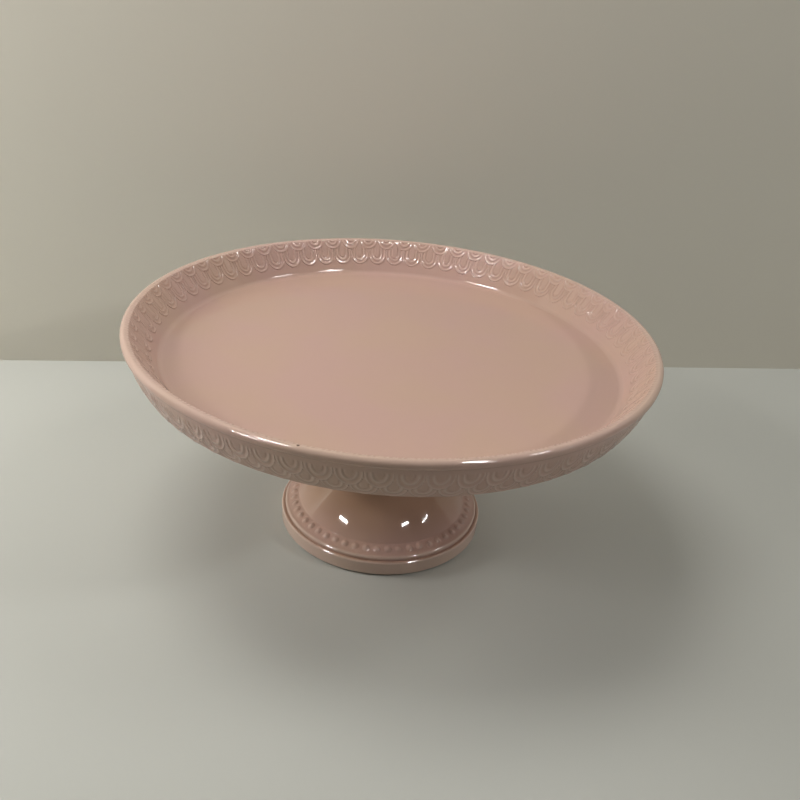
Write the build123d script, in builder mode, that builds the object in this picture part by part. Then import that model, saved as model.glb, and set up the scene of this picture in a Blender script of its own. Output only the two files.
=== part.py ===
"""Footed ceramic cake turntable: a dish with a rolled lip that turns on a ball swivel.

Millimetres. +Z is up and is the axis of rotation, and the origin is on the surface that the
stand rests on. Every section is drawn on the XZ plane, as (radius, height).
"""
from build123d import *
from math import asin, atan2, cos, degrees, hypot, pi, radians, tan
import os

# ---- overall sizes ----
overall_height = 134.0
plate_diameter = 300.0
foot_diameter = 125.0

# ---- dish ----
plate_depth = 24.0  # crest of the lip to the underside
well_depth = 19.7  # crest of the lip to the well floor
rim_width = 19.1  # outside of the lip to the crease of the well
corner_inset = 9.4  # outside of the lip to the lower corner of the wall
lip_radius = 2.4  # rolled edge
lip_underside_angle = -71.0  # where the wall runs into the rolled edge
wall_bulge = 0.9  # outward bow of the outer wall
well_fillet = 2.6
corner_round = 1.3
hub_drop = 1.5  # underside of the dish to the swivel's seat
hub_fillet = 0.8
skirt_gap = 3.0  # pedestal's flange to the foot ring of the dish
skirt_width = 5.0
skirt_height = 7.5
skirt_round = 1.6

# ---- swivel ----
ball_diameter = 5.0
ball_count = 24
ball_clearance = 0.1  # ball to groove, all round
ball_circle_radius = 38.0
groove_depth = 0.55
race_sheet = 1.2
race_radius = 44.5
cage_thickness = 1.9
cage_width = 7.2
pocket_clearance = 0.15
bond_thickness = 1.0
bond_inner_radius = 14.0
bond_outer_radius = 34.0

# ---- spindle, its bush and what holds it down ----
spindle_diameter = 8.0
running_clearance = 0.06
push_fit = 0.03  # pieces of one body that slide together on assembly
shoulder_radius = 9.0
shoulder_thickness = 1.8
rivet_neck_step = 1.0  # spindle to the neck that is riveted into the upper race
rivet_head_step = 1.5
rivet_head_height = 0.7
spindle_end_length = 3.0  # thread that stands out of the nut
spindle_end_chamfer = 0.8
bush_wall = 2.0
bush_flange_radius = 10.0
bush_flange_thickness = 1.2
bush_stand = 0.8  # height of the bush inside the lower race, which it centres
end_float = 0.1
washer_radius = 8.5
thrust_thickness = 1.0
spring_thickness = 0.5
spring_height = 1.3
backing_thickness = 1.2
nut_across_flats = 13.0
nut_hex_height = 6.2
nut_chamfer_angle = 30.0
nut_collar_height = 1.8
nut_collar_radius = 6.1
nut_collar_wall = 0.7

# ---- pedestal ----
foot_pad_diameter = 7.0
foot_pad_height = 1.0
foot_pad_count = 4
foot_pad_inset = 5.0  # outside of the foot to the pads' circle
foot_pad_round = 0.25
foot_edge_round = 0.8
foot_rim_width = 9.4
foot_rim_height = 5.0
plinth_height = 8.6
plinth_round = 0.9
groove_inset = 1.5  # outside of the foot to the centre of the groove
groove_radius = 0.45
ring_step = 2.2  # outside of the foot to the ring above the groove
ring_height = 2.2
ring_round = 1.2
bead_seat_width = 4.7
bead_seat_rise = 0.5
bead_pitch = 6.65
bead_base_radius = 2.75
bead_height = 1.35
valley_width = 1.1
valley_rise = 0.6
dome_height = 23.0
dome_top_radius = 33.0
dome_bulge = 0.9
cove_radius = 40.0
waist_height_share = 0.7  # the waist lies no higher than this share of the flange's height
pedestal_wall = 5.5
flange_radius = 46.0
flange_edge_height = 5.0
flange_ledge = 3.5  # flat under the flange, outside the flare
flange_round = 1.4
hub_thickness = 8.0
hub_cavity_radius = 27.0
hub_cavity_fillet = 3.0

# ---- radii and heights that follow, from the dish down through the swivel to the nut ----
plate_radius = plate_diameter / 2
foot_radius = foot_diameter / 2
ball_radius = ball_diameter / 2
spindle_radius = spindle_diameter / 2
underside_z = overall_height - plate_depth
well_floor_z = overall_height - well_depth
hub_seat_z = underside_z - hub_drop
race_gap = ball_diameter - 2 * groove_depth + 2 * ball_clearance
top_race_back_z = hub_seat_z - bond_thickness
top_race_face_z = top_race_back_z - race_sheet
ball_centre_z = top_race_face_z - race_gap / 2
bottom_race_face_z = ball_centre_z - race_gap / 2
bottom_race_back_z = bottom_race_face_z - race_sheet
flange_top_z = bottom_race_back_z - bond_thickness
hub_underside_z = flange_top_z - hub_thickness
bush_flange_z = hub_underside_z - bush_flange_thickness
thrust_top_z = bush_flange_z - end_float
spring_top_z = thrust_top_z - thrust_thickness
backing_top_z = spring_top_z - spring_height
nut_top_z = backing_top_z - backing_thickness
collar_top_z = nut_top_z - nut_hex_height
nut_bottom_z = collar_top_z - nut_collar_height
spindle_end_z = nut_bottom_z - spindle_end_length
rivet_neck_radius = spindle_radius + rivet_neck_step
rivet_head_radius = rivet_neck_radius + rivet_head_step
bush_bore_radius = spindle_radius + running_clearance
bush_radius = bush_bore_radius + bush_wall
washer_bore_radius = spindle_radius + push_fit


def round_corner(corner, radius):
    """Round the corner of the section being drawn that lies nearest to a point."""
    fillet(vertices().sort_by_distance(corner)[0], radius)


os.makedirs("parts", exist_ok=True)

# ---- dish: the inner wall is the tangent from the crease of the well to the rolled lip ----
lip_r = plate_radius - lip_radius
lip_z = overall_height - lip_radius
well_radius = plate_radius - rim_width
lip_run = lip_r - well_radius
lip_rise = lip_z - well_floor_z
wall_angle = degrees(atan2(lip_rise, lip_run) + asin(lip_radius / hypot(lip_run, lip_rise)))
lip_start_angle = wall_angle + 90
corner_radius = plate_radius - corner_inset
skirt_inner_radius = flange_radius + skirt_gap
skirt_outer_radius = skirt_inner_radius + skirt_width
skirt_bottom_z = underside_z - skirt_height

with BuildPart() as plate:
    with BuildSketch(Plane.XZ):
        with BuildLine():
            lip = CenterArc(
                (lip_r, lip_z), lip_radius, lip_start_angle, lip_underside_angle - lip_start_angle
            )
            wall = SagittaArc(lip @ 1, (corner_radius, underside_z), wall_bulge)
            Polyline(
                wall @ 1,
                (skirt_outer_radius, underside_z),
                (skirt_outer_radius, skirt_bottom_z),
                (skirt_inner_radius, skirt_bottom_z),
                (skirt_inner_radius, hub_seat_z),
                (0, hub_seat_z),
                (0, well_floor_z),
                (well_radius, well_floor_z),
                lip @ 0,
            )
        make_face()
        round_corner((well_radius, well_floor_z), well_fillet)
        round_corner((corner_radius, underside_z), corner_round)
        round_corner((skirt_outer_radius, underside_z), skirt_round)
        round_corner((skirt_outer_radius, skirt_bottom_z), skirt_round)
        round_corner((skirt_inner_radius, skirt_bottom_z), skirt_round)
        round_corner((skirt_inner_radius, hub_seat_z), hub_fillet)
    revolve(axis=Axis.Z)
plate.part.label = "plate"
export_step(plate.part, "parts/plate.step")

# ---- adhesive ring between the dish and the upper race ----
with BuildPart() as top_bond_pad:
    with BuildSketch(Plane.XY.offset(top_race_back_z)):
        Circle(bond_outer_radius)
        Circle(bond_inner_radius, mode=Mode.SUBTRACT)
    extrude(amount=bond_thickness)
top_bond_pad.part.label = "top_bond_pad"
export_step(top_bond_pad.part, "parts/top_bond_pad.step")

# ---- upper race: sheet with a stamped groove, riveted to the spindle ----
# Both faces of the sheet follow the ball round: the groove below, its bulge above.
groove_r = ball_radius + ball_clearance
bulge_r = groove_r + race_sheet
groove_half = (groove_r**2 - (race_gap / 2) ** 2) ** 0.5
bulge_half = (bulge_r**2 - (race_gap / 2 + race_sheet) ** 2) ** 0.5

with BuildPart() as top_race:
    with BuildSketch(Plane.XZ):
        with BuildLine():
            Polyline(
                (ball_circle_radius - groove_half, top_race_face_z),
                (rivet_neck_radius, top_race_face_z),
                (rivet_neck_radius, top_race_back_z),
                (ball_circle_radius - bulge_half, top_race_back_z),
            )
            ThreePointArc(
                (ball_circle_radius - bulge_half, top_race_back_z),
                (ball_circle_radius, ball_centre_z + bulge_r),
                (ball_circle_radius + bulge_half, top_race_back_z),
            )
            Polyline(
                (ball_circle_radius + bulge_half, top_race_back_z),
                (race_radius, top_race_back_z),
                (race_radius, top_race_face_z),
                (ball_circle_radius + groove_half, top_race_face_z),
            )
            ThreePointArc(
                (ball_circle_radius + groove_half, top_race_face_z),
                (ball_circle_radius, ball_centre_z + groove_r),
                (ball_circle_radius - groove_half, top_race_face_z),
            )
        make_face()
    revolve(axis=Axis.Z)
top_race.part.label = "top_race"
export_step(top_race.part, "parts/top_race.step")

# ---- lower race: the same pressing turned over and bored out for the bush ----
with BuildPart() as bottom_race:
    mirror(top_race.part, about=Plane.XY.offset(ball_centre_z))
    with Locations((0, 0, bottom_race_face_z)):
        Hole(bush_radius + push_fit)
bottom_race.part.label = "bottom_race"
export_step(bottom_race.part, "parts/bottom_race.step")

# ---- balls, and the ring that spaces them ----
with BuildPart() as bearing_balls:
    with Locations((0, 0, ball_centre_z)):
        with PolarLocations(ball_circle_radius, ball_count):
            Sphere(ball_radius)
bearing_balls.part.label = "bearing_balls"
export_step(bearing_balls.part, "parts/bearing_balls.step")

with BuildPart() as ball_cage:
    with BuildSketch(Plane.XY.offset(ball_centre_z - cage_thickness / 2)):
        Circle(ball_circle_radius + cage_width / 2)
        Circle(ball_circle_radius - cage_width / 2, mode=Mode.SUBTRACT)
        with PolarLocations(ball_circle_radius, ball_count):
            Circle(ball_radius + pocket_clearance, mode=Mode.SUBTRACT)
    extrude(amount=cage_thickness)
ball_cage.part.label = "ball_cage"
export_step(ball_cage.part, "parts/ball_cage.step")

# ---- adhesive ring between the lower race and the pedestal ----
with BuildPart() as bottom_bond_pad:
    with BuildSketch(Plane.XY.offset(flange_top_z)):
        Circle(bond_outer_radius)
        Circle(bond_inner_radius, mode=Mode.SUBTRACT)
    extrude(amount=bond_thickness)
bottom_bond_pad.part.label = "bottom_bond_pad"
export_step(bottom_bond_pad.part, "parts/bottom_bond_pad.step")

# ---- spindle: shoulder under the upper race, rivet head above it ----
with BuildPart() as spindle:
    with BuildSketch(Plane.XZ):
        with BuildLine():
            Polyline(
                (0, spindle_end_z),
                (spindle_radius - spindle_end_chamfer, spindle_end_z),
                (spindle_radius, spindle_end_z + spindle_end_chamfer),
                (spindle_radius, top_race_face_z - shoulder_thickness),
                (shoulder_radius, top_race_face_z - shoulder_thickness),
                (shoulder_radius, top_race_face_z),
                (rivet_neck_radius, top_race_face_z),
                (rivet_neck_radius, top_race_back_z),
                (rivet_head_radius, top_race_back_z),
                (rivet_neck_radius, top_race_back_z + rivet_head_height),
                (0, top_race_back_z + rivet_head_height),
                close=True,
            )
        make_face()
    revolve(axis=Axis.Z)
spindle.part.label = "spindle"
export_step(spindle.part, "parts/spindle.step")

# ---- bush: pushed up through the pedestal's hub, flange under the hub ----
with BuildPart() as spindle_bush:
    with BuildSketch(Plane.XY.offset(bush_flange_z)):
        Circle(bush_flange_radius)
    extrude(amount=bush_flange_thickness)
    with BuildSketch(Plane.XY.offset(hub_underside_z)):
        Circle(bush_radius)
    extrude(amount=hub_thickness + bond_thickness + bush_stand)
    with Locations((0, 0, bush_flange_z)):
        Hole(bush_bore_radius)
spindle_bush.part.label = "spindle_bush"
export_step(spindle_bush.part, "parts/spindle_bush.step")

# ---- washers and the conical spring between the bush and the nut ----
with BuildPart() as thrust_washer:
    with BuildSketch(Plane.XY.offset(spring_top_z)):
        Circle(washer_radius)
        Circle(washer_bore_radius, mode=Mode.SUBTRACT)
    extrude(amount=thrust_thickness)
thrust_washer.part.label = "thrust_washer"
export_step(thrust_washer.part, "parts/thrust_washer.step")

with BuildPart() as disc_spring:
    with BuildSketch(Plane.XZ):
        with BuildLine():
            Polyline(
                (washer_bore_radius, spring_top_z),
                (washer_bore_radius, spring_top_z - spring_thickness),
                (washer_radius, backing_top_z),
                (washer_radius, backing_top_z + spring_thickness),
                close=True,
            )
        make_face()
    revolve(axis=Axis.Z)
disc_spring.part.label = "disc_spring"
export_step(disc_spring.part, "parts/disc_spring.step")

with BuildPart() as backing_washer:
    with BuildSketch(Plane.XY.offset(nut_top_z)):
        Circle(washer_radius)
        Circle(washer_bore_radius, mode=Mode.SUBTRACT)
    extrude(amount=backing_thickness)
backing_washer.part.label = "backing_washer"
export_step(backing_washer.part, "parts/backing_washer.step")

# ---- lock nut: hexagon with cone-turned corners, and a collar crimped round its insert ----
nut_corner_radius = nut_across_flats / 2 / cos(radians(30))
nut_corner_drop = (nut_corner_radius - nut_across_flats / 2) * tan(radians(nut_chamfer_angle))

with BuildPart() as lock_nut:
    with BuildSketch(Plane.XY.offset(collar_top_z)):
        RegularPolygon(nut_corner_radius, 6)
    extrude(amount=nut_hex_height)
    with BuildSketch(Plane.XZ):
        with BuildLine():
            Polyline(
                (0, collar_top_z),
                (nut_across_flats / 2, collar_top_z),
                (nut_corner_radius, collar_top_z + nut_corner_drop),
                (nut_corner_radius, nut_top_z),
                (0, nut_top_z),
                close=True,
            )
        make_face()
    revolve(axis=Axis.Z, mode=Mode.INTERSECT)
    with BuildSketch(Plane.XY.offset(nut_bottom_z)):
        Circle(nut_collar_radius)
        Circle(nut_collar_radius - nut_collar_wall, mode=Mode.SUBTRACT)
    extrude(amount=nut_collar_height)
    with Locations((0, 0, nut_top_z)):
        Hole(washer_bore_radius)
lock_nut.part.label = "lock_nut"
export_step(lock_nut.part, "parts/lock_nut.step")

with BuildPart() as nut_insert:
    with BuildSketch(Plane.XY.offset(nut_bottom_z)):
        Circle(nut_collar_radius - nut_collar_wall - push_fit)
        Circle(washer_bore_radius, mode=Mode.SUBTRACT)
    extrude(amount=nut_collar_height)
nut_insert.part.label = "nut_insert"
export_step(nut_insert.part, "parts/nut_insert.step")

# ---- pedestal: plinth, groove, ring, bead seat, valley, dome, cove, flare and flange ----
foot_z = foot_pad_height
plinth_top_z = foot_z + plinth_height
groove_r0 = foot_radius - groove_inset + groove_radius
groove_r1 = foot_radius - groove_inset - groove_radius
ring_radius = foot_radius - ring_step
ring_top_z = plinth_top_z + ring_height
seat_outer = (ring_radius, ring_top_z)
seat_inner = (ring_radius - ring_round - bead_seat_width, ring_top_z + bead_seat_rise)
dome_foot = (seat_inner[0] - valley_width, seat_inner[1] + valley_rise)
dome_top = (dome_top_radius, dome_foot[1] + dome_height)
flange_edge_z = flange_top_z - flange_edge_height
rim_inner_radius = foot_radius - foot_rim_width

# Beads: spheres sunk into the seat, so that a low round boss stands on it.
bead_sphere_radius = (bead_base_radius**2 + bead_height**2) / (2 * bead_height)
bead_ring_radius = seat_inner[0] + bead_seat_width / 2
bead_centre_z = (seat_outer[1] + seat_inner[1]) / 2 + bead_height - bead_sphere_radius
bead_count = round(2 * pi * bead_ring_radius / bead_pitch)

with BuildPart() as pedestal:
    with BuildSketch(Plane.XZ):
        with BuildLine():
            Polyline(
                (rim_inner_radius, foot_z + foot_rim_height),
                (rim_inner_radius, foot_z),
                (foot_radius, foot_z),
                (foot_radius, plinth_top_z),
                (groove_r0, plinth_top_z),
            )
            SagittaArc((groove_r0, plinth_top_z), (groove_r1, plinth_top_z), groove_radius)
            Polyline(
                (groove_r1, plinth_top_z),
                (ring_radius, plinth_top_z),
                seat_outer,
                seat_inner,
                dome_foot,
            )
            dome = SagittaArc(dome_foot, dome_top, -dome_bulge)
            dome_turn = (dome % 0).get_angle(dome % 1)
            top_slope = degrees(atan2((dome % 1).Y, -(dome % 1).X))
            cove_room = waist_height_share * flange_edge_z - dome_top[1]
            cove_round = min(cove_radius, cove_room / cos(radians(top_slope)))
            cove = JernArc(dome_top, dome % 1, cove_round, top_slope - 90)
            flare_top = (flange_radius - flange_ledge, flange_edge_z)
            TangentArc(cove @ 1, flare_top, tangent=cove % 1)
            Polyline(
                flare_top,
                (flange_radius, flange_edge_z),
                (flange_radius, flange_top_z),
                (0, flange_top_z),
                (0, hub_underside_z),
                (hub_cavity_radius, hub_underside_z),
            )
            inner_cove = CenterArc(
                cove.arc_center, cove_round + pedestal_wall, 180, 90 - top_slope
            )
            TangentArc(inner_cove @ 0, (hub_cavity_radius, hub_underside_z), tangent=(0, 1))
            inner_dome = CenterArc(
                dome.arc_center, dome.radius - pedestal_wall, 90 - top_slope, -dome_turn
            )
            Line(inner_dome @ 1, (rim_inner_radius, foot_z + foot_rim_height))
        make_face()
        round_corner((foot_radius, foot_z), foot_edge_round)
        round_corner((foot_radius, plinth_top_z), plinth_round)
        round_corner(seat_outer, ring_round)
        round_corner((flange_radius, flange_edge_z), flange_round)
        round_corner((flange_radius, flange_top_z), flange_round)
        round_corner((hub_cavity_radius, hub_underside_z), hub_cavity_fillet)
    revolve(axis=Axis.Z)
    with Locations((0, 0, bead_centre_z)):
        with PolarLocations(bead_ring_radius, bead_count):
            Sphere(bead_sphere_radius)
    with Locations((0, 0, flange_top_z)):
        Hole(bush_radius + push_fit)
pedestal.part.label = "pedestal"
export_step(pedestal.part, "parts/pedestal.step")

# ---- bumpers under the foot ----
with BuildPart() as foot_pads:
    with BuildSketch():
        with PolarLocations(foot_radius - foot_pad_inset, foot_pad_count):
            Circle(foot_pad_diameter / 2)
    extrude(amount=foot_pad_height)
    fillet(edges().group_by(Axis.Z)[0], foot_pad_round)
foot_pads.part.label = "foot_pads"
export_step(foot_pads.part, "parts/foot_pads.step")
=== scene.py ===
from math import pi, radians

import bpy
import numpy as np
from mathutils import Matrix, Vector


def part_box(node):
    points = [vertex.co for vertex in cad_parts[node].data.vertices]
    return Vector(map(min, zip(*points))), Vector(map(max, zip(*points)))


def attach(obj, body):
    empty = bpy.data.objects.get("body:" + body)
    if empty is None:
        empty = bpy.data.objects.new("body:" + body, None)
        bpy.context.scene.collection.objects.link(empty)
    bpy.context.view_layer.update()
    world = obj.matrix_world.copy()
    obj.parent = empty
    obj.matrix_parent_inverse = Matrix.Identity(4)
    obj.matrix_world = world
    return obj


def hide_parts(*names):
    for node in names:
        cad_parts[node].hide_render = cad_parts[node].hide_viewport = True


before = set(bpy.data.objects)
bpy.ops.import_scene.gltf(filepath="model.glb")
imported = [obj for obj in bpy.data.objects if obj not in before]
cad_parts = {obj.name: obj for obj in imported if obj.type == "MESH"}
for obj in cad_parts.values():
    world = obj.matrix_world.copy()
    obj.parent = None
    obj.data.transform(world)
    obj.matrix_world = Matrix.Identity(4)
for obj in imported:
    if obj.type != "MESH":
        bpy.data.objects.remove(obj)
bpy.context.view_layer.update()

# ==== camera ====
# A hand-held view from above the near edge of the table, about half a metre from the dish,
# with the camera tipped a little to one side, so that the dish seems to lean to the right.
camera_height = 0.3254
camera_distance = 0.4524
camera_yaw = 0.0145
camera_pitch = 0.4918
camera_roll = 0.0875

camera_data = bpy.data.cameras.new("table_view")
camera_data.lens = 38.67
camera_data.sensor_width = 36
camera_data.clip_start = 0.01
camera_data.clip_end = 20
camera = bpy.data.objects.new("table_view", camera_data)
camera.matrix_world = (
    Matrix.Translation((0, -camera_distance, camera_height))
    @ Matrix.Rotation(-camera_yaw, 4, "Z")
    @ Matrix.Rotation(pi / 2 - camera_pitch, 4, "X")
    @ Matrix.Rotation(camera_roll, 4, "Z")
)
bpy.context.scene.collection.objects.link(camera)
bpy.context.scene.camera = camera

# ==== pedestal ====
# The foot is one hollow slip-cast piece of earthenware: plinth, groove, ring, a band of beads, a
# domed skirt, a narrow neck, and a flare up to the flange under the dish. It is dipped in a clear
# blush glaze that softens every edge, and its standing ring is wiped bare before firing.
MM = 0.001
TURN = 2 * pi
pedestal_low, pedestal_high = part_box("pedestal")
foot_radius = pedestal_high.x / MM
foot_bottom = pedestal_low.z / MM
flange_top = pedestal_high.z / MM
flange_radius = foot_radius - 16.5
flange_thickness = 5.0
hub_thickness = 8.0
hub_bore = 6.09  # radius
waist_radius = 19.69
hollow_waist_radius = 14.19
ring_radius = foot_radius - 2.2
groove_bottom = 9.15  # height
plinth_top = 9.6  # height
sole_radius = foot_radius - 9.4  # inside the standing ring
sole_step = 5.0  # height of the wall inside the standing ring
wiped_height = 0.35  # bare clay above the sole
bead_count = 54
bead_circle = foot_radius - 7.6
bead_radius = 2.6
bead_shoulder = 1.95  # distance from a bead's centre at which it leans the most
bead_lean = 34  # degrees by which the sides of a bead lean
bead_fillet = 0.65  # how wide the glaze fills the angle round each bead
pedestal_columns = 12 * bead_count


def section(corners):
    """A section through corners (radius, height, round), all in millimetres. Along a straight run
    the heading stays, and along the arc that rounds a corner it turns evenly. Integrating the
    heading gives the points. Returns the distance, radius, height and heading of points 0.01 mm
    apart, and the distances at which the runs and arcs end."""
    points = np.array([corner[:2] for corner in corners], float)
    legs = np.diff(points, axis=0)
    headings = np.unwrap(np.arctan2(legs[:, 1], legs[:, 0]))
    turns = np.abs(np.diff(headings))
    rounds = np.array([corner[2] for corner in corners[1:-1]], float)
    reach = np.pad(rounds * np.tan(turns / 2), 1)
    runs = np.hypot(*legs.T) - reach[:-1] - reach[1:]
    assert runs.min() > -0.001, f"the rounds at run {runs.argmin()} are too large"
    stretches = np.zeros(2 * len(runs) - 1)
    stretches[0::2] = np.maximum(runs, 0)
    stretches[1::2] = rounds * turns
    ends = np.concatenate(([0], np.cumsum(stretches)))
    distance = np.arange(0, ends[-1], 0.01)
    middle = np.interp(distance[:-1] + 0.005, ends, np.repeat(headings, 2))
    radius = points[0, 0] + np.concatenate(([0], np.cumsum(0.01 * np.cos(middle))))
    height = points[0, 1] + np.concatenate(([0], np.cumsum(0.01 * np.sin(middle))))
    return distance, radius, height, np.interp(distance, ends, np.repeat(headings, 2)), ends


def rows_along(path, longest, start=0.0, end=1e9, sharpest=13):
    """Distances along a section at which rows of vertices lie. Each run and arc gets a whole number
    of steps, none longer than longest millimetres, which may depend on the distance, and none with
    more than sharpest degrees of turn."""
    distance, _, _, heading, ends = path
    step = longest(distance) if callable(longest) else longest + 0 * distance
    cost = 0.01 / step + np.abs(np.gradient(heading)) / radians(sharpest)
    measure = np.cumsum(cost)
    marks = np.interp(np.unique(np.clip(ends, start, min(end, distance[-1]))), distance, measure)
    steps = np.concatenate(([0], np.cumsum(np.maximum(np.ceil(np.diff(marks) - 0.01), 1))))
    return np.interp(np.interp(np.arange(steps[-1] + 1), steps, marks), measure, distance)


def lofted(path, s, t, relief):
    """Points and normals at distance s along a section and angle t round the axis, from the front
    towards the right. A point is moved out along the section's normal by relief(s, t), and its
    normal leans back by the relief's slopes along the section and round the axis."""
    distance, radius, height, heading, _ = path
    turn = np.interp(s, distance, heading)
    out = relief(s, t)
    along = (relief(s + 0.02, t) - relief(s - 0.02, t)) / 0.04
    r = np.interp(s, distance, radius) - np.sin(turn) * out
    z = np.interp(s, distance, height) + np.cos(turn) * out
    round_axis = (relief(s, t + 0.0002) - relief(s, t - 0.0002)) / 0.0004 / np.maximum(r, 1)
    outward = -np.sin(turn) - along * np.cos(turn)
    upward = np.cos(turn) - along * np.sin(turn)
    points = np.stack([r * np.sin(t), -r * np.cos(t), z], axis=-1) * MM
    normals = np.stack([
        outward * np.sin(t) - round_axis * np.cos(t),
        -outward * np.cos(t) - round_axis * np.sin(t),
        upward,
    ], axis=-1)
    return points, normals / np.linalg.norm(normals, axis=-1, keepdims=True)


def smooth(x):
    """0 below 0, 1 above 1, and 3x^2 - 2x^3 between."""
    x = np.clip(x, 0, 1)
    return x * x * (3 - 2 * x)


def plain(s, t):
    """No relief, and no glaze pooled on it."""
    return 0.0 * s * t


def turned(name, path, rows, columns, relief=plain, pooled=plain, back=None, poles=False):
    """A closed shell about the axis: a grid of rows along a section by columns round the axis, which
    faces outwards. back, a radius and height, is a hidden ring that closes the shell behind the
    shown surface. With poles, both ends of the section close at the axis instead."""
    s, t = np.meshgrid(rows, np.arange(columns) * TURN / columns, indexing="ij")
    points, normals = lofted(path, s, t, relief)
    # How deep the glaze lies; on the foot this also holds painted shade and painted light.
    depth = pooled(s, t)
    if back is not None:
        ring = np.stack([back[0] * np.sin(t[0]), -back[0] * np.cos(t[0]), back[1] + 0 * t[0]], axis=-1)
        points = np.concatenate([points, ring[None] * MM])
        normals = np.concatenate([normals, normals[-1:]])
        depth = np.concatenate([depth, depth[-1:]])
    index = np.arange(len(points) * columns).reshape(-1, columns)
    if poles:
        index[0], index[-1] = index[0, 0], index[-1, 0]
        ahead = index[1:]
    else:
        ahead = np.roll(index, -1, axis=0)
    here = index[:len(ahead)]
    quads = np.stack([here, ahead, np.roll(ahead, -1, axis=1), np.roll(here, -1, axis=1)], axis=-1)
    faces = quads.reshape(-1, 4).tolist()
    if poles:
        faces[:columns] = [[a, b, c] for a, b, c, _ in faces[:columns]]
        faces[-columns:] = [[a, b, d] for a, b, _, d in faces[-columns:]]
    mesh = bpy.data.meshes.new(name)
    mesh.from_pydata(points.reshape(-1, 3), [], faces)
    mesh.attributes.new("glaze_depth_and_shade", "FLOAT", "POINT").data.foreach_set("value", depth.ravel())
    mesh.shade_smooth()
    mesh.normals_split_custom_set_from_vertices(normals.reshape(-1, 3))
    piece = bpy.data.objects.new(name, mesh)
    bpy.context.scene.collection.objects.link(piece)
    return piece


def linear(code):
    """An sRGB hex colour as linear RGBA: c / 12.92 up to 0.04045, and ((c + 0.055) / 1.055) ** 2.4."""
    c = np.array([int(code[k:k + 2], 16) for k in (0, 2, 4)]) / 255
    return (*np.where(c <= 0.04045, c / 12.92, ((c + 0.055) / 1.055) ** 2.4), 1.0)


def add(material, kind, values=None, links=None, **settings):
    """Adds a shader node with its settings, its inputs' values and its links from (node, output)."""
    node = material.node_tree.nodes.new("ShaderNode" + kind)
    for key, value in settings.items():
        setattr(node, key, value)
    for key, value in (values or {}).items():
        node.inputs[key].default_value = value
    for key, (source, output) in (links or {}).items():
        material.node_tree.links.new(source.outputs[output], node.inputs[key])
    return node


def new_material(name):
    """A material with no nodes yet."""
    material = bpy.data.materials.new(name)
    material.use_nodes = True
    material.node_tree.nodes.clear()
    return material


# Blush gloss glaze over cast earthenware: lamps mirror sharply in a clear skin over a body that
# scatters light softly. The colour drifts between peach and pink over some 60 mm. It is paler where
# the glaze runs thin over an edge, and deeper where it pools. On the foot the same two colours also
# hold painted light and painted shade: the plinth and the ring are painted paler, and the dome is
# painted darker and browner towards the neck, where the dish shades it.
blush_glaze = new_material("blush_gloss_glaze")
place = add(blush_glaze, "TexCoord")
drift = add(blush_glaze, "TexNoise", {"Scale": 1 / 0.06, "Detail": 2.0, "Roughness": 0.45},
            {"Vector": (place, "Object")})
body_tone = add(blush_glaze, "ValToRGB", links={"Fac": (drift, "Fac")})
body_tone.color_ramp.elements[0].position = 0.38
body_tone.color_ramp.elements[0].color = linear("ba9b8a")
body_tone.color_ramp.elements[1].position = 0.62
body_tone.color_ramp.elements[1].color = linear("ba998d")
# The attribute holds how deep the glaze lies, and on the foot painted shade up the dome and painted light
# over the plinth and the ring.
pooling_and_shade = add(blush_glaze, "Attribute", attribute_name="glaze_depth_and_shade")
# Thin glaze makes the colour paler, and over the plinth and the ring this paleness is painted light.
thin = add(blush_glaze, "Math", {1: -1.0}, {0: (pooling_and_shade, "Fac")}, operation="MULTIPLY", use_clamp=True)
pale = add(blush_glaze, "Mix", {"B": linear("d2bead")},
           {"Factor": (thin, "Value"), "A": (body_tone, "Color")}, data_type="RGBA")
# The deep colour is pooled glaze, and up the dome towards the neck it is painted shade.
deep_and_shaded = add(blush_glaze, "Mix", {"B": linear("8f6d3e")},
           {"Factor": (pooling_and_shade, "Fac"), "A": (pale, "Result")}, data_type="RGBA")
ripple = add(blush_glaze, "TexNoise", {"Scale": 1 / 0.009, "Detail": 1.0},
             {"Vector": (place, "Object")})
skin = add(blush_glaze, "Bump", {"Strength": 0.05, "Distance": 0.0004}, {"Height": (ripple, "Fac")})
# One iron speck, a millimetre across, has burnt through the glaze on the lip, at the front left.
from_speck = add(blush_glaze, "VectorMath", {1: (-0.0367, -0.1428, 0.1338)}, {0: (place, "Object")},
                 operation="DISTANCE")
speck = add(blush_glaze, "MapRange", {"From Min": 0.0005, "From Max": 0.0009, "To Min": 1.0, "To Max": 0.0},
            {"Value": (from_speck, "Value")})
specked = add(blush_glaze, "Mix", {"B": linear("4a3428")},
              {"Factor": (speck, "Result"), "A": (deep_and_shaded, "Result")}, data_type="RGBA")
glaze = add(blush_glaze, "BsdfPrincipled",
            {"Roughness": 0.45, "IOR": 1.5, "Specular IOR Level": 0.0,
             "Coat Weight": 1.0, "Coat Roughness": 0.05, "Coat IOR": 1.5},
            {"Base Color": (specked, "Result"), "Normal": (skin, "Normal"), "Coat Normal": (skin, "Normal")})
add(blush_glaze, "OutputMaterial", links={"Surface": (glaze, "BSDF")})

# Bisque, where the standing ring is wiped bare before firing: matt, cream-pink, with fine grog.
bisque = new_material("bare_bisque")
place = add(bisque, "TexCoord")
grog = add(bisque, "TexNoise", {"Scale": 1 / 0.0006, "Detail": 4.0}, {"Vector": (place, "Object")})
clay = add(bisque, "ValToRGB", links={"Fac": (grog, "Fac")})
clay.color_ramp.elements[0].color = linear("cdb3a0")
clay.color_ramp.elements[1].color = linear("e6d6c6")
grain = add(bisque, "Bump", {"Strength": 0.4, "Distance": 0.0001}, {"Height": (grog, "Fac")})
dry = add(bisque, "BsdfPrincipled", {"Roughness": 0.9},
          {"Base Color": (clay, "Color"), "Normal": (grain, "Normal")})
add(bisque, "OutputMaterial", links={"Surface": (dry, "BSDF")})

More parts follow.
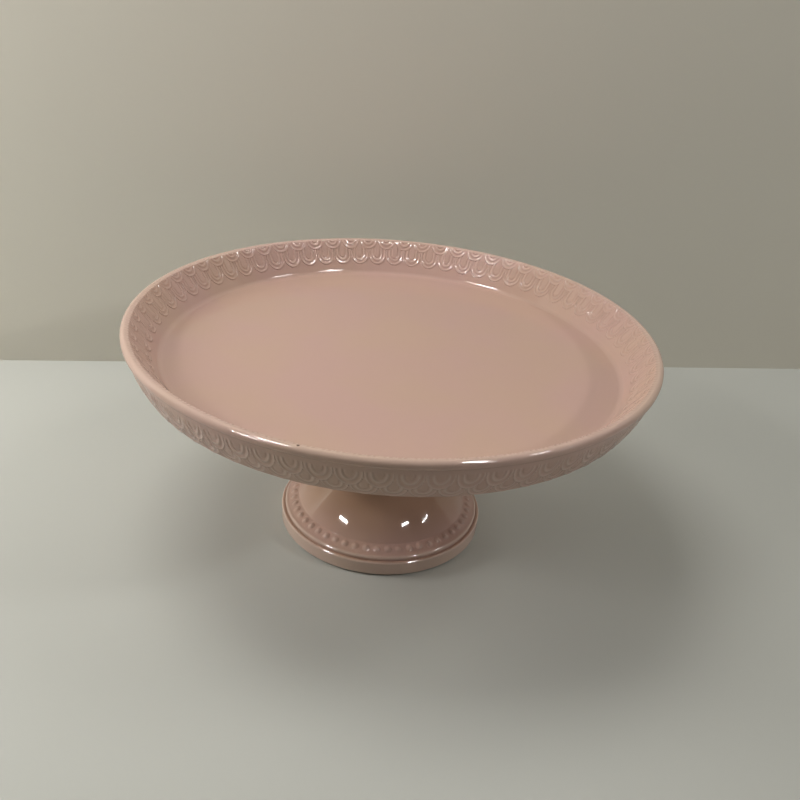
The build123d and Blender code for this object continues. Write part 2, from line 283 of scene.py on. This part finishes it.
pedestal_path = section([
    (25, flange_top, 0),
    (flange_radius, flange_top, 1.4),
    (flange_radius, flange_top - flange_thickness, 1.4),
    (42.5, flange_top - flange_thickness, 0.3),
    (waist_radius, 89.23, 30.0),
    (waist_radius, 47.83, 39.8),
    (43.58, 26.43, 128.0),
    (51.83, 15.0, 1.0),
    (foot_radius - 4.3, 12.2, 1.5),
    (foot_radius - 2.9, 11.9, 0.6),
    (foot_radius - 2.55, 11.53, 8.0),
    (ring_radius, 11.1, 0.6),
    (ring_radius, groove_bottom, 0.15),
    (foot_radius - 1.95, groove_bottom, 0.1),
    (foot_radius - 1.85, plinth_top, 0.15),
    (foot_radius - 0.7, plinth_top, 0.5),
    (foot_radius - 0.36, 9.23, 8.0),
    (foot_radius, 8.8, 0.5),
    (foot_radius, foot_bottom, 0.8),
    (sole_radius, foot_bottom, 0.6),
    (sole_radius, foot_bottom + sole_step, 1.0),
    (48.78, 9.77, 0.5),
    (40.35, 21.94, 122.0),
    (hollow_waist_radius, 45.36, 45.2),
    (hollow_waist_radius, 81.98, 24.0),
    (27, flange_top - hub_thickness, 1.5),
    (hub_bore, flange_top - hub_thickness, 0.2),
    (hub_bore, flange_top, 0.2),
    (24.9, flange_top, 0),
])
# The distance along the section at which it crosses the bead circle, on the outside of the foot.
hidden = pedestal_path[2] < 5
bead_line = pedestal_path[0][np.argmin(np.abs(pedestal_path[1] - bead_circle) + 9 * hidden)]
bead_steps = np.linspace(0, bead_radius, 276)
bead_slopes = np.tan(radians(bead_lean) * np.sqrt(np.minimum(bead_steps / bead_shoulder, 1))
                     * np.clip((bead_radius - bead_steps) / bead_fillet, 0, 1))
bead_heights = np.cumsum(bead_slopes[::-1])[::-1] * bead_steps[1]


def from_bead(s, t):
    """The distance to the nearest bead's centre, in millimetres."""
    pitch = TURN / bead_count
    return np.hypot(bead_circle * (t - pitch * np.round(t / pitch)), s - bead_line)


def beads(s, t):
    """The height of the band of beads. From a bead's crown its skin leans more and more, as the
    root of the distance, and in the fillet of glaze at its edge it levels out again. The height is
    the sum of the slopes from the bead's edge."""
    return np.interp(from_bead(s, t), bead_steps, bead_heights)


def glaze_and_shade_on_foot(s, t):
    """Glaze pools in the groove and runs thin over each bead's crown. Up the dome towards the neck,
    under the dish, the foot is painted darker and browner as painted shade, and the plinth and the
    ring are painted paler as painted light. Each of these is a smooth step in height, radius or distance."""
    groove = np.interp(s, pedestal_path[0], np.abs(pedestal_path[1] - foot_radius + 1.5))
    height = np.interp(s, pedestal_path[0], pedestal_path[2])
    in_groove = smooth((1.1 - groove) / 0.6) * smooth((10.2 - height) / 0.4) * smooth((height - 8.8) / 0.3)
    on_crown = smooth((2.2 - from_bead(s, t)) / 1.4)
    # Painted shade: the dome turns darker and browner towards the neck, under the dish.
    painted_shade_to_neck = smooth((height - 13) / 16)
    # Painted light: the plinth and the ring are painted paler.
    painted_light_on_plinth = smooth((12.2 - height) / 0.5)
    return 0.8 * in_groove - 0.2 * on_crown + 0.42 * painted_shade_to_neck - 0.5 * painted_light_on_plinth


pedestal_rows = rows_along(
    pedestal_path, lambda s: np.where(np.abs(s - bead_line) < 3, 0.45, 12.0), sharpest=20
)
pedestal = turned("pedestal_glazed", pedestal_path, pedestal_rows, pedestal_columns, beads, glaze_and_shade_on_foot)
pedestal.data.materials.append(blush_glaze)
pedestal.data.materials.append(bisque)
face_heights = np.empty(3 * len(pedestal.data.polygons))
pedestal.data.polygons.foreach_get("center", face_heights)
wiped = face_heights[2::3] < (foot_bottom + wiped_height) * MM
pedestal.data.polygons.foreach_set("material_index", wiped.astype(int))
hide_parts("pedestal")
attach(pedestal, "stand")

# ==== foot pads ====
# Four clear silicone bumpers stuck under the standing ring keep the bare clay off the table. Moulded
# silicone is soft and slightly milky, with a satin skin.
silicone = new_material("clear_silicone")
place = add(silicone, "TexCoord")
haze = add(silicone, "TexNoise", {"Scale": 1 / 0.002, "Detail": 2.0}, {"Vector": (place, "Object")})
milk = add(silicone, "ValToRGB", links={"Fac": (haze, "Fac")})
milk.color_ramp.elements[0].color = linear("cfd3d1")
milk.color_ramp.elements[1].color = linear("dfe1de")
rubber = add(silicone, "BsdfPrincipled", {"Roughness": 0.38, "IOR": 1.41, "Transmission Weight": 0.3},
             {"Base Color": (milk, "Color")})
add(silicone, "OutputMaterial", links={"Surface": (rubber, "BSDF")})


def dress(material, *nodes):
    """Gives CAD nodes a material in their own slots, and leaves their meshes alone."""
    for node in nodes:
        for material_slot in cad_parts[node].material_slots:
            material_slot.material = material


dress(silicone, "foot_pads")

# ==== bonding foam ====
# Two rings of double-sided foam tape bond the swivel's races to the flange and to the dish. Closed-cell
# polyethylene is white and dull with fine open cells on its cut edges, which bulge under the load.
foam = new_material("closed_cell_foam")
place = add(foam, "TexCoord")
cells = add(foam, "TexVoronoi", {"Scale": 1 / 0.0005}, {"Vector": (place, "Object")})
shade = add(foam, "ValToRGB", links={"Fac": (cells, "Distance")})
shade.color_ramp.elements[0].color = linear("d4d2cb")
shade.color_ramp.elements[1].color = linear("efeee9")
pits = add(foam, "Bump", {"Strength": 0.5, "Distance": 0.0001}, {"Height": (cells, "Distance")})
skin = add(foam, "BsdfPrincipled", {"Roughness": 0.92, "IOR": 1.45},
           {"Base Color": (shade, "Color"), "Normal": (pits, "Normal")})
add(foam, "OutputMaterial", links={"Surface": (skin, "BSDF")})


def foam_ring(name, node, body):
    """A flat ring with edges that bulge by a fifth of its thickness: a closed section whose edges are
    each two leaning runs with a round between them."""
    low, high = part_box(node)
    inner, outer, bottom, top = 14.0, high.x / MM, low.z / MM, high.z / MM
    bulge = (top - bottom) / 5
    middle = (bottom + top) / 2
    path = section([
        (inner + 6, top, 0),
        (outer - bulge, top, 0.05),
        (outer, middle, 0.4),
        (outer - bulge, bottom, 0.05),
        (inner + bulge, bottom, 0.05),
        (inner, middle, 0.4),
        (inner + bulge, top, 0.05),
        (inner + 5.9, top, 0),
    ])
    ring = turned(name, path, rows_along(path, 8.0), 180)
    ring.data.materials.append(foam)
    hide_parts(node)
    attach(ring, body)


foam_ring("lower_foam_ring", "bottom_bond_pad", "stand")
foam_ring("upper_foam_ring", "top_bond_pad", "turning_dish")

# ==== races ====
# Two races pressed from 1.2 mm strip steel, with grooves for the balls, and plated with bright zinc.
# The zinc gives a cool bluish grey with cloudy patches some 4 mm across, and a satin gloss.
zinc = new_material("bright_zinc_plate")
place = add(zinc, "TexCoord")
cloud = add(zinc, "TexNoise", {"Scale": 1 / 0.004, "Detail": 3.0}, {"Vector": (place, "Object")})
cast = add(zinc, "ValToRGB", links={"Fac": (cloud, "Fac")})
cast.color_ramp.elements[0].position = 0.35
cast.color_ramp.elements[0].color = linear("a9b0b8")
cast.color_ramp.elements[1].position = 0.65
cast.color_ramp.elements[1].color = linear("c6cacd")
gloss = add(zinc, "MapRange", {"To Min": 0.26, "To Max": 0.42}, {"Value": (cloud, "Fac")})
plated = add(zinc, "BsdfPrincipled", {"Metallic": 1.0},
             {"Base Color": (cast, "Color"), "Roughness": (gloss, "Result")})
add(zinc, "OutputMaterial", links={"Surface": (plated, "BSDF")})
dress(zinc, "bottom_race", "top_race", "backing_washer", "lock_nut")

# ==== balls and cage ====
# Twenty-four 5 mm balls of hardened chrome steel, ground and lapped to a mirror, in a cage moulded of
# white nylon, which is slightly translucent and has a dull moulded skin.
ball_steel = new_material("lapped_chrome_steel")
place = add(ball_steel, "TexCoord")
smear = add(ball_steel, "TexNoise", {"Scale": 1 / 0.003, "Detail": 1.0}, {"Vector": (place, "Object")})
film = add(ball_steel, "MapRange", {"To Min": 0.04, "To Max": 0.12}, {"Value": (smear, "Fac")})
lapped = add(ball_steel, "BsdfPrincipled", {"Metallic": 1.0, "Base Color": linear("d2d3d4")},
             {"Roughness": (film, "Result")})
add(ball_steel, "OutputMaterial", links={"Surface": (lapped, "BSDF")})
dress(ball_steel, "bearing_balls")


def moulded_nylon(name, dark, light):
    """Moulded nylon between two close tones, with the fine dull grain that the mould leaves."""
    nylon = new_material(name)
    place = add(nylon, "TexCoord")
    flow = add(nylon, "TexNoise", {"Scale": 1 / 0.008, "Detail": 2.0}, {"Vector": (place, "Object")})
    tone = add(nylon, "ValToRGB", links={"Fac": (flow, "Fac")})
    tone.color_ramp.elements[0].color = linear(dark)
    tone.color_ramp.elements[1].color = linear(light)
    grain = add(nylon, "TexNoise", {"Scale": 1 / 0.0003}, {"Vector": (place, "Object")})
    dull = add(nylon, "Bump", {"Strength": 0.2, "Distance": 0.00003}, {"Height": (grain, "Fac")})
    body = add(nylon, "BsdfPrincipled",
               {"Roughness": 0.48, "IOR": 1.53, "Subsurface Weight": 0.15, "Subsurface Scale": 0.001},
               {"Base Color": (tone, "Color"), "Normal": (dull, "Normal")})
    add(nylon, "OutputMaterial", links={"Surface": (body, "BSDF")})
    return nylon


white_nylon = moulded_nylon("white_moulded_nylon", "dedbd0", "eae7de")
dress(white_nylon, "ball_cage")

# ==== spindle ====
# An M8 spindle turned from mild steel and zinc plated. Its head is riveted over in the upper race, its
# shoulder holds the race, and its shank runs down through the hub to a rolled thread for the nut.
spindle_low, spindle_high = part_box("spindle")
spindle_end = spindle_low.z / MM
rivet_top = spindle_high.z / MM
shoulder_radius = spindle_high.x / MM
shank_radius = 4.0
thread_pitch = 1.25
thread_depth = 0.61
thread_length = 14.5
race_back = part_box("top_bond_pad")[0].z / MM
spindle_path = section([
    (0, rivet_top, 0),
    (6.5, rivet_top, 1.4),
    (6.5, race_back - 1.2, 0.1),
    (shoulder_radius, race_back - 1.2, 0.2),
    (shoulder_radius, race_back - 3.0, 0.3),
    (shank_radius, race_back - 3.0, 0.3),
    (shank_radius, spindle_end, 0.7),
    (0, spindle_end, 0),
])


def thread(s, t):
    """A right-hand thread, cut in from the shank: the depth goes up and down evenly along z plus the
    pitch times the turns round the axis, with flat crests, and it runs out at the thread's ends."""
    height = np.interp(s, spindle_path[0], spindle_path[2])
    radius = np.interp(s, spindle_path[0], spindle_path[1])
    phase = np.mod((height + thread_pitch * t / TURN) / thread_pitch, 1.0)
    cut = np.clip(1.15 - np.abs(4 * phase - 2) * 0.6, 0, 1)
    upper_end = smooth((spindle_end + thread_length - height) / thread_pitch)
    lower_end = smooth((height - spindle_end) / 0.6)
    return -thread_depth * cut * upper_end * lower_end * smooth((radius - 3.2) / 0.5)


spindle_rows = rows_along(spindle_path, lambda s: np.where(s > spindle_path[4][11], 0.14, 2.0))
spindle = turned("threaded_spindle", spindle_path, spindle_rows, 96, thread, poles=True)
spindle.data.materials.append(zinc)
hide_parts("spindle")
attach(spindle, "turning_dish")

# ==== bush, washers and nut ====
# A flanged nylon bush is pushed up into the hub's bore. Below it a nylon washer, a disc spring of
# hardened steel, a plated backing washer and a lock nut with a blue nylon insert hold the dish down.
dress(white_nylon, "spindle_bush", "thrust_washer")
dress(moulded_nylon("blue_moulded_nylon", "2b4f93", "365fa8"), "nut_insert")

# Hardened spring steel with its oil-tempered skin: dark, a little brown, and satin.
spring_steel = new_material("oil_tempered_spring_steel")
place = add(spring_steel, "TexCoord")
scale = add(spring_steel, "TexNoise", {"Scale": 1 / 0.002, "Detail": 4.0}, {"Vector": (place, "Object")})
temper = add(spring_steel, "ValToRGB", links={"Fac": (scale, "Fac")})
temper.color_ramp.elements[0].color = linear("4d4a4a")
temper.color_ramp.elements[1].color = linear("77726c")
oiled = add(spring_steel, "BsdfPrincipled", {"Metallic": 1.0, "Roughness": 0.36},
            {"Base Color": (temper, "Color")})
add(spring_steel, "OutputMaterial", links={"Surface": (oiled, "BSDF")})
dress(spring_steel, "disc_spring")

# ==== dish ====
# One cast piece: a flat well, a flared rim with two rows of scales pressed into both its faces, a
# rolled lip, and a ring under it that hides the swivel. The rim is made as an inner and an outer
# shell that meet along the crest of the lip, and the rest as a third.
plate_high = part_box("plate")[1]
plate_radius = plate_high.x / MM
crest = plate_high.z / MM
underside = crest - 24.0
well_floor = crest - 19.7
rim_start = 126.0  # radius at which the rim's shells meet the dish's body
skirt_radius = 54.0  # the ring under the dish, outside
skirt_inside = 49.0
skirt_depth = 7.5
scale_count = 70
scale_half = TURN * 141 / scale_count / 2  # half the width of a scale, halfway up the rim
rim_columns = 24 * scale_count

rim_path = section([
    (rim_start, well_floor, 0),
    (plate_radius - 19.1, well_floor, 4.5),
    (plate_radius - 3.57, crest, 2.4),
    (plate_radius, crest, 2.4),
    (plate_radius, crest - 4.11, 1.9),
    (plate_radius - 1.93, crest - 4.78, 1.0),
    (plate_radius - 4.13, crest - 15.12, 55.0),
    (plate_radius - 9.6, underside, 1.3),
    (138, underside, 0),
])
inner_wall_top = rim_path[4][3]
outer_wall_top = rim_path[4][10]
crest_at = rim_path[0][np.argmax(rim_path[2])]


def inset(down, t, centre, length, shift):
    """How far inside a scale's edge a point is, in millimetres. Below its centre line a scale is half
    an ellipse, and above that line its sides are straight. The scales' tips point down."""
    across = (np.mod(t * scale_count / TURN + shift + 0.5, 1.0) - 0.5) * 2 * scale_half
    below = np.maximum(down - centre, 0) * scale_half / length
    return scale_half - np.hypot(across, below)


def ribs(inside, boss):
    """The raised lines on a scale, as a height from 0 to 1: two lines along its edge, then a boss. A
    line is the square root of the cube of half of 1 plus a cosine, 2.5 mm from one to the next."""
    lines = (np.cos(TURN * (inside - 0.55) / 2.5) * 0.5 + 0.5) ** 1.5
    return lines * smooth((4.2 - inside) / 0.5) + smooth((inside - 4.2) / 0.8) * boss


def tiled(down, t, lower, upper, ground, heights, boss):
    """Two rows of scales laid like tiles, the upper over the lower and both over the ground. Over
    half a millimetre inside its edge, each scale rises from what lies under it."""
    height = ground + 0 * down * t
    for (centre, length, shift), (top, relief) in zip((lower, upper), heights):
        inside = inset(down, t, centre, length, shift)
        height = height + smooth(inside / 0.5) * (top + relief * ribs(inside, boss) - height)
    return height


inner_rows = (10.3, 7.5, 0.65), (-0.85, 7.5, 0.15)
outer_rows = (12.6, 7.6, 0.597), (3.4, 9.9, 0.097)


def rim_relief(s, t):
    """The relief of both faces of the rim, in millimetres. It fades out at the lip and at the well."""
    down = inner_wall_top - s
    inner = tiled(down, t, *inner_rows, 0.0, ((0.15, 0.4), (0.4, 0.4)), 0.85)
    inner = inner * smooth((down + 1.2) / 1.4)
    down = s - outer_wall_top
    outer = tiled(down, t, *outer_rows, -0.2, ((-0.12, 0.3), (0.02, 0.3)), 0.6)
    outer = outer * smooth((down - 2.2) / 0.9) * smooth((20.6 - down) / 1.6)
    return np.where(s < crest_at, inner, outer)


def rim_glaze(s, t):
    """The glaze on the rim, from -1 where it is thin to 1 where it pools: it runs thin over the ribs of
    the scales and over the lip and the lower edge, and pools a little between the ribs."""
    down = inner_wall_top - s
    inner = tiled(down, t, *inner_rows, 0.0, ((0.05, -0.2), (0.05, -0.2)), 0.5)
    down = s - outer_wall_top
    outer = tiled(down, t, *outer_rows, 0.05, ((0.05, -0.35), (0.05, -0.35)), 0.0)
    lower_edge = smooth((down - 20.6) / 0.5) * smooth((22.4 - down) / 0.5)
    outer = outer * smooth((down - 2.2) / 0.9) - 0.5 * lower_edge
    lip = smooth(1 - np.abs(s - crest_at - 1.0) / 4.5)
    return np.where(s < crest_at, inner, outer) - 0.3 * lip


hidden_ring = (136.5, underside + 3)
inside_rows = rows_along(rim_path, lambda s: np.where(s < inner_wall_top - 23.5, 3.0, 0.56), 0, crest_at)
outside_rows = rows_along(
    rim_path, lambda s: np.where(s < outer_wall_top + 3, 1.5, 0.7), crest_at, sharpest=22
)
rim_inside = turned("rim_inside", rim_path, inside_rows, rim_columns, rim_relief, rim_glaze, hidden_ring)
rim_outside = turned("rim_outside", rim_path, outside_rows, rim_columns, rim_relief, rim_glaze, hidden_ring)

dish_path = section([
    (0, well_floor, 0),
    (rim_start, well_floor, 0.05),
    (*hidden_ring, 0.05),
    (138, underside, 0.05),
    (skirt_radius, underside, 1.6),
    (skirt_radius, underside - skirt_depth, 1.6),
    (skirt_inside, underside - skirt_depth, 1.6),
    (skirt_inside, underside - 1.5, 0.8),
    (0, underside - 1.5, 0),
])
dish_body = turned("dish_body", dish_path, rows_along(dish_path, 20.0), rim_columns // 4, poles=True)
for piece in (rim_inside, rim_outside, dish_body):
    piece.data.materials.append(blush_glaze)
    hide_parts("plate")
    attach(piece, "turning_dish")

# ==== room ====
# A pale table and a plain wall behind it. Five soft lamps light them and the glaze's body, most of it
# from the left, and six long thin ceiling tubes only show as highlights in the gloss.


def panel(name, corners, tone):
    """One flat quad of the room, painted matt on its face. Its back is clear, so that it hides nothing
    from a camera behind the wall or under the table."""
    mesh = bpy.data.meshes.new(name)
    mesh.from_pydata(corners, [], [(0, 1, 2, 3)])
    piece = bpy.data.objects.new(name, mesh)
    bpy.context.scene.collection.objects.link(piece)
    paint = new_material(name + "_paint")
    matt = add(paint, "BsdfDiffuse", {"Color": linear(tone)})
    clear = add(paint, "BsdfTransparent")
    side = add(paint, "NewGeometry")
    shown = add(paint, "MixShader", links={0: (side, "Backfacing"), 1: (matt, "BSDF"), 2: (clear, "BSDF")})
    add(paint, "OutputMaterial", links={"Surface": (shown, "Shader")})
    mesh.materials.append(paint)


def wall_at(x, z):
    """The point of the wall's face at x and z. The wall stands a few degrees askew to the dish."""
    return (x, 0.219 + 0.161 * x, z)


panel("table", [(-3, -3, 0), (3, -3, 0), (3, 3, 0), (-3, 3, 0)], "b8b8b0")
panel("wall", [wall_at(-3, 1.4), wall_at(-3, 0), wall_at(3, 0), wall_at(3, 1.4)], "d5d0c2")


def lamp(name, azimuth, elevation, distance, size, power, spin=0, mirrored=False):
    """A flat lamp that faces the dish from an azimuth, from the front towards the right, and an
    elevation, in degrees, with its longer side turned by spin. A mirrored one only shows in gloss,
    and the others only give soft light, so that colours stay as they are written."""
    light = bpy.data.lights.new(name, "AREA")
    light.shape = "RECTANGLE"
    light.size, light.size_y = size
    light.energy = power
    around, up = radians(azimuth), radians(elevation)
    towards = Vector((np.sin(around) * np.cos(up), -np.cos(around) * np.cos(up), np.sin(up)))
    piece = bpy.data.objects.new(name, light)
    piece.matrix_world = (
        Matrix.Translation(towards * distance + Vector((0, 0, 0.1)))
        @ towards.to_track_quat("Z", "Y").to_matrix().to_4x4()
        @ Matrix.Rotation(radians(spin), 4, "Z")
    )
    piece.visible_glossy = mirrored
    piece.visible_diffuse = not mirrored
    bpy.context.scene.collection.objects.link(piece)


lamp("window", -90, 25, 0.8, (0.4, 0.4), 4.9)
lamp("overhead", -90, 72, 0.9, (0.4, 0.4), 3.5)
lamp("low_left", -56, 34, 2.4, (0.5, 0.1), 4.9)
lamp("low_far_right", 75, 29.5, 2.4, (0.3, 0.1), 11.5)
lamp("right", 95, 50, 1.8, (0.5, 0.5), 5.0)

lamp("tube_low_left", -56, 33.5, 2.4, (0.5, 0.04), 18, 10, mirrored=True)
lamp("tube_low_right", 43, 38.5, 2.4, (0.35, 0.022), 8, -5, mirrored=True)
lamp("tube_low_far_right", 75, 29.5, 2.4, (0.35, 0.022), 7.5, -8, mirrored=True)
lamp("tube_high_left", -69, 60, 2.1, (0.5, 0.06), 24, 0, mirrored=True)
lamp("tube_high_right", 57, 62.5, 2.1, (0.3, 0.08), 24, 0, mirrored=True)
lamp("tube_high_far_right", 89, 54, 2.1, (0.35, 0.06), 6, 0, mirrored=True)

world = bpy.data.worlds.new("room_light")
bpy.context.scene.world = world
world.use_nodes = True
world.node_tree.nodes["Background"].inputs["Color"].default_value = linear("f4f1ea")
world.node_tree.nodes["Background"].inputs["Strength"].default_value = 0.03
bpy.context.scene.view_settings.view_transform = "Standard"
